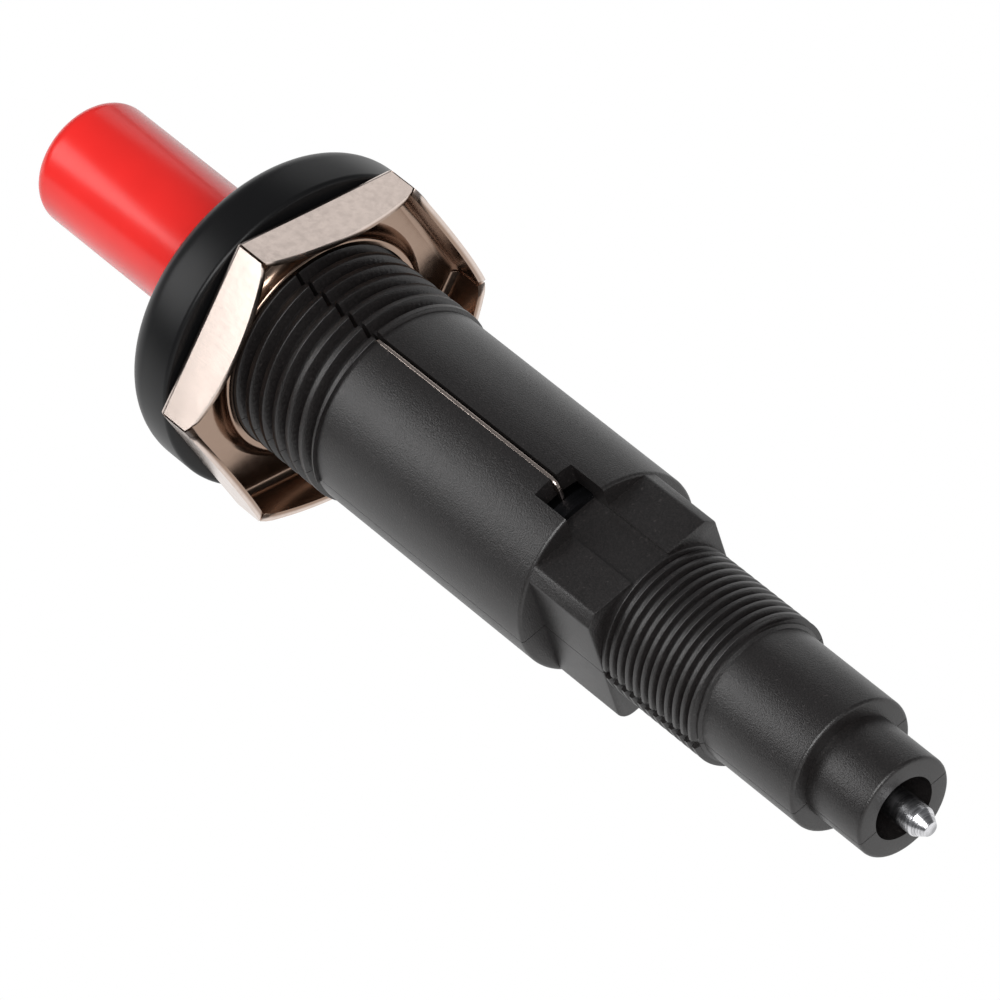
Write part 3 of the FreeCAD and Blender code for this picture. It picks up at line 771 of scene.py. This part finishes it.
class IGNITER_OT_housing(bpy.types.Operator):
    """Models the two housing halves with both threads, the block, the window and the bores"""
    bl_idname = "igniter.housing"
    bl_label = "Housing halves"

    def execute(self, context):
        sizes = context.scene.igniter_barrel
        bores = context.scene.igniter_bores
        edge = sizes.edge
        corner = math.pi / 2
        coarse_run_out, fine_run_out = 0.0004, 0.0002
        outline = [
            (0.0005, sizes.spigot_front),
            (sizes.spigot_r, sizes.spigot_front),
            (sizes.spigot_r, 0),
            (sizes.thread_root, 0),
            (sizes.thread_root, sizes.thread_end - coarse_run_out),
            (sizes.barrel_r, sizes.thread_end),
        ]
        outline += rounded((sizes.barrel_r - edge, sizes.barrel_end - edge), edge, 0, corner, 4)
        outline += [
            (sizes.rear_root, sizes.barrel_end),
            (sizes.rear_root, sizes.rear_end - fine_run_out),
            (sizes.tail_r, sizes.rear_end),
        ]
        outline += rounded((sizes.tail_r - edge, sizes.tail_end - edge), edge, 0, corner, 4)
        outline += [(sizes.nose_r, sizes.tail_end)]
        outline += rounded((sizes.nose_r - edge, sizes.nose_end - edge), edge, 0, corner, 4)
        outline += [(0.0005, sizes.nose_end)]
        housing = turned("housing", outline, 192)
        cut(housing, [soften(self.block(sizes), sizes.block_edge, 2)], "UNION")
        cut(housing, self.ridges(sizes), "UNION")
        margin = 0.002
        cut(housing, [turned("bores", [
            (0.0003, sizes.spigot_front - margin),
            (bores.main_r, sizes.spigot_front - margin),
            (bores.main_r, bores.main_end),
            (bores.stack_r, bores.main_end),
            (bores.stack_r, bores.stack_end),
            (bores.head_r, bores.stack_end),
            (bores.head_r, bores.pin_seat),
            (bores.shank_r, bores.pin_seat),
            (bores.shank_r, bores.nose_floor),
            (bores.nose_r, bores.nose_floor),
            (bores.nose_r, sizes.nose_end + margin),
            (0.0003, sizes.nose_end + margin),
        ], 96)])
        top = sizes.thread_r + margin
        cut(housing, [
            slab("window", (-bores.channel_half, bores.window_start, bores.channel_floor),
                 (bores.channel_half, sizes.block_end + 0.00002, top)),
            slab("strip_slot", (bores.slot_far, sizes.thread_end - 0.0012, bores.slot_floor),
                 (bores.slot_near, bores.window_start + 0.0001, top)),
            slab("thread_slot", (-bores.slot_near, 0.0005, bores.slot_floor - 0.0003),
                 (bores.slot_near - 0.00001, sizes.thread_end - 0.001, top)),
        ])
        lower = twin(housing, "housing_below")
        reach = 0.1
        cut(housing, [slab("half", (-reach, -reach, -reach), (reach, reach, sizes.seam / 2))])
        cut(lower, [slab("half", (-reach, -reach, -sizes.seam / 2), (reach, reach, reach))])
        housing.name = "housing_above"
        for piece, node in ((housing, "housing_upper"), (lower, "housing_lower")):
            shade(face_out(piece, 1e-6), 30)
            place(piece, "housing", node, "housing_plastic", finishes()["housing_plastic"])
        return {"FINISHED"}

    def block(self, sizes):
        """The square block: chamfered along its upper edges, rounded along its lower ones."""
        half = sizes.block_half
        chamfer = sizes.block_chamfer
        inner = half - sizes.block_round
        start = sizes.barrel_end - 0.0005
        arc = rounded((inner, -inner), sizes.block_round, 0, -math.pi / 2, 8)
        right = [(half - chamfer, half), (half, half - chamfer)] + arc
        outline = right + [(-x, z) for x, z in reversed(right)]
        points = [(x, start, z) for x, z in outline]
        return drawn("block", points, (0, sizes.block_end - start, 0))

    def ridges(self, sizes):
        """Both threads, cut off square where they stop."""
        coarse = helix("coarse", sizes.thread_root, sizes.thread_r, sizes.thread_foot, sizes.thread_crest,
                       sizes.crest_edge, sizes.thread_pitch, sizes.thread_phase - sizes.thread_pitch * 8, 9)
        fine = helix("fine", sizes.rear_root, sizes.rear_r, sizes.rear_foot, sizes.rear_crest,
                     sizes.crest_edge, sizes.rear_pitch, sizes.rear_phase - sizes.rear_pitch * 4, 15)
        reach = 0.02
        cut(coarse, [slab("before", (-reach, -reach, -reach), (reach, 0.0001, reach)),
                     slab("after", (-reach, sizes.thread_end + 0.0002, -reach), (reach, reach * 3, reach))])
        cut(fine, [slab("before", (-reach, 0, -reach), (reach, sizes.block_end - 0.0001, reach)),
                   slab("after", (-reach, sizes.rear_end - 0.0003, -reach), (reach, reach * 5, reach)),
                   slab("relief", (sizes.rear_root - 0.0003, 0, -sizes.relief),
                        (reach, reach * 5, sizes.relief))])
        return [coarse, fine]


class IGNITER_OT_strip(bpy.types.Operator):
    """Models the ground strip on edge in its slot, with its dip under the thread and its bent leg"""
    bl_idname = "igniter.strip"
    bl_label = "Ground strip"

    def execute(self, context):
        sizes = context.scene.igniter_small
        low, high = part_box("ground_strip")
        front, back = low.y, high.y
        top = sizes.strip_high
        bottom = top - sizes.strip_width
        dip = top - sizes.strip_dip
        rise = context.scene.igniter_barrel.thread_end - sizes.strip_width
        bend = sizes.strip_bend
        low_width, leg_width = 0.00022, 0.0004
        outline = [
            (front, dip - low_width),
            (rise, dip - low_width),
            (rise + sizes.strip_dip, bottom),
            (back - leg_width, bottom),
            (back - leg_width, top - sizes.strip_leg),
            (back, top - sizes.strip_leg),
        ]
        outline += rounded((back - bend, top - bend), bend, 0, math.pi / 2, 6)
        outline += [
            (rise + sizes.strip_dip, top),
            (rise, dip),
            (front, dip),
        ]
        points = [(-sizes.strip_half, y, z) for y, z in outline]
        piece = drawn("strip", points, (sizes.strip_half * 2, 0, 0))
        soften(piece, 0.00005, 2, 40)
        place(piece, "housing", "ground_strip", "nickel_sheet", finishes()["nickel_sheet"])
        return {"FINISHED"}


class IGNITER_OT_pin(bpy.types.Operator):
    """Models the turned terminal pin with its head, shank and cone"""
    bl_idname = "igniter.pin"
    bl_label = "Terminal pin"

    def execute(self, context):
        sizes = context.scene.igniter_small
        bores = context.scene.igniter_bores
        low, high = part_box("terminal_pin")
        tip = high.y
        outline = [
            (0.0002, low.y),
            (sizes.pin_head, low.y),
            (sizes.pin_head, bores.pin_seat),
            (sizes.pin_shank, bores.pin_seat),
            (sizes.pin_shank, bores.nose_floor),
            (sizes.pin_r, bores.nose_floor),
            (sizes.pin_r, tip - sizes.pin_cone),
            (sizes.pin_tip, tip),
            (0.0001, tip),
        ]
        piece = soften(turned("pin", outline, 96), 0.00008, 3, 25)
        place(piece, "housing", "terminal_pin", "pin_metal", finishes()["pin_metal"])
        return {"FINISHED"}


class IGNITER_OT_springs(bpy.types.Operator):
    """Winds the three springs of round wire with ground ends"""
    bl_idname = "igniter.springs"
    bl_label = "Springs"

    def execute(self, context):
        sizes = context.scene.igniter_small
        made = finishes()["spring_steel"]
        for node, wire, turns, body in (("drive_spring", sizes.drive_wire, 12, "button"),
                                        ("return_spring", sizes.return_wire, 5, "housing"),
                                        ("contact_spring", sizes.contact_wire, 5, "housing")):
            low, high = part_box(node)
            piece = coil(node.replace("_spring", "_coil"), high.x, wire, low.y, high.y, turns)
            place(piece, body, node, "spring_steel", made)
            if node == "drive_spring":
                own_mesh(piece)
            if node == "return_spring":
                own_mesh(piece)
        return {"FINISHED"}


class IGNITER_OT_inner(bpy.types.Operator):
    """Gives the inner pieces of the mechanism their finishes"""
    bl_idname = "igniter.inner"
    bl_label = "Inner finishes"

    def execute(self, context):
        made = finishes()
        for row in frame["record"]["subparts"]:
            node = frame["nodes"][row["node"]]
            node.data.materials.clear()
            node.data.materials.append(made[row["material_slot"]])
        return {"FINISHED"}


class IGNITER_OT_stage(bpy.types.Operator):
    """Sets the camera, the pale floor and the soft light"""
    bl_idname = "igniter.stage"
    bl_label = "Stage"

    def execute(self, context):
        scene = context.scene
        scene.view_settings.view_transform = "Standard"
        self.camera(scene)
        self.floor()
        self.world(scene)
        self.lamp("left_light", (0.43, -0.45, 0.48), 0.46, 2.3)
        self.lamp("right_light", (-0.62, -0.42, 0.24), 0.4, 0.4)
        self.lamp("front_light", (0.22, 0.48, 0.61), 0.45, 5.3)
        return {"FINISHED"}

    def camera(self, scene):
        deselect()
        bpy.ops.object.camera_add(location=(0.193155, 0.429057, 0.537854))
        camera = bpy.context.object
        camera.name = "camera"
        right = Vector((-0.73963, 0.63768, -0.21520))
        up = Vector((-0.61439, -0.50923, 0.60267))
        ahead = Vector((-0.27472, -0.57797, -0.76843))
        turn = Matrix((right, up, -ahead)).transposed()
        camera.rotation_mode = "QUATERNION"
        camera.rotation_quaternion = turn.to_quaternion()
        camera.data.lens = 330.48
        camera.data.sensor_width = 36
        camera.data.clip_start = 0.01
        camera.data.clip_end = 10
        scene.camera = camera

    def seen_white(self, recipe, shader, white):
        """Pure white to the eye and in reflections, and the plain shader for all other light."""
        path = recipe.nodes.new("ShaderNodeLightPath")
        eye = Flow(recipe, path.outputs["Is Camera Ray"])
        gloss = Flow(recipe, path.outputs["Is Glossy Ray"])
        through = Flow(recipe, path.outputs["Is Transmission Ray"])
        seen = recipe.add("ShaderNodeMath", {"operation": "MAXIMUM"}, {0: eye + gloss, 1: through})
        return recipe.add("ShaderNodeMixShader", None, {0: seen, 1: shader, 2: white})

    def floor(self):
        deselect()
        bpy.ops.mesh.primitive_plane_add(size=3, location=(0, 0, -0.09))
        floor = settle(bpy.context.object, "floor")
        recipe = Recipe("floor")
        plain = recipe.add("ShaderNodeBsdfDiffuse", None, {"Color": (0.8, 0.8, 0.8, 1)})
        white = recipe.add("ShaderNodeEmission", None, {"Color": (1, 1, 1, 1), "Strength": 1.0})
        out = recipe.nodes.new("ShaderNodeOutputMaterial")
        recipe.links.new(self.seen_white(recipe, plain, white).socket, out.inputs["Surface"])
        floor.data.materials.append(recipe.material)

    def world(self, scene):
        world = bpy.data.worlds.new("studio")
        scene.world = world
        world.use_nodes = True
        nodes = world.node_tree.nodes
        links = world.node_tree.links
        nodes.clear()
        path = nodes.new("ShaderNodeLightPath")
        dim = nodes.new("ShaderNodeBackground")
        dim.inputs["Color"].default_value = (0.95, 0.97, 1.0, 1)
        dim.inputs["Strength"].default_value = 0.16
        white = nodes.new("ShaderNodeBackground")
        white.inputs["Color"].default_value = (1, 1, 1, 1)
        mix = nodes.new("ShaderNodeMixShader")
        out = nodes.new("ShaderNodeOutputWorld")
        links.new(path.outputs["Is Camera Ray"], mix.inputs[0])
        links.new(dim.outputs[0], mix.inputs[1])
        links.new(white.outputs[0], mix.inputs[2])
        links.new(mix.outputs[0], out.inputs["Surface"])

    def lamp(self, name, place, size, power):
        deselect()
        bpy.ops.object.light_add(type="AREA", location=place)
        lamp = bpy.context.object
        lamp.name = name
        lamp.data.size = size
        lamp.data.energy = power
        aim = Vector((0, 0.02, 0)) - Vector(place)
        lamp.rotation_mode = "QUATERNION"
        lamp.rotation_quaternion = aim.to_track_quat("-Z", "Y")


class IGNITER_PT_panel(bpy.types.Panel):
    bl_label = "Piezo igniter"
    bl_idname = "IGNITER_PT_panel"
    bl_space_type = "VIEW_3D"
    bl_region_type = "UI"
    bl_category = "Igniter"

    def draw(self, context):
        column = self.layout.column()
        for step in STEPS:
            column.operator("igniter." + step)
        for group in GROUPS:
            sizes = getattr(context.scene, group)
            column.separator()
            for name in sizes.bl_rna.properties.keys():
                if name not in ("rna_type", "name"):
                    column.prop(sizes, name)


STEPS = ("stage", "button", "flange", "nut", "housing", "strip", "pin", "springs", "inner")

GROUPS = {
    "igniter_barrel": IgniterBarrelSizes,
    "igniter_bores": IgniterBoreSizes,
    "igniter_front": IgniterFrontSizes,
    "igniter_small": IgniterSmallSizes,
    "igniter_colours": IgniterColours,
}

CLASSES = [
    *GROUPS.values(),
    IGNITER_OT_button,
    IGNITER_OT_flange,
    IGNITER_OT_nut,
    IGNITER_OT_housing,
    IGNITER_OT_strip,
    IGNITER_OT_pin,
    IGNITER_OT_springs,
    IGNITER_OT_inner,
    IGNITER_OT_stage,
    IGNITER_PT_panel,
]


def register():
    for item in CLASSES:
        bpy.utils.register_class(item)
    for name, group in GROUPS.items():
        setattr(bpy.types.Scene, name, bpy.props.PointerProperty(type=group))


def unregister():
    for name in GROUPS:
        delattr(bpy.types.Scene, name)
    for item in reversed(CLASSES):
        bpy.utils.unregister_class(item)


def main():
    register()
    for step in STEPS:
        getattr(bpy.ops.igniter, step)()
    deselect()


if __name__ == "__main__":
    main()
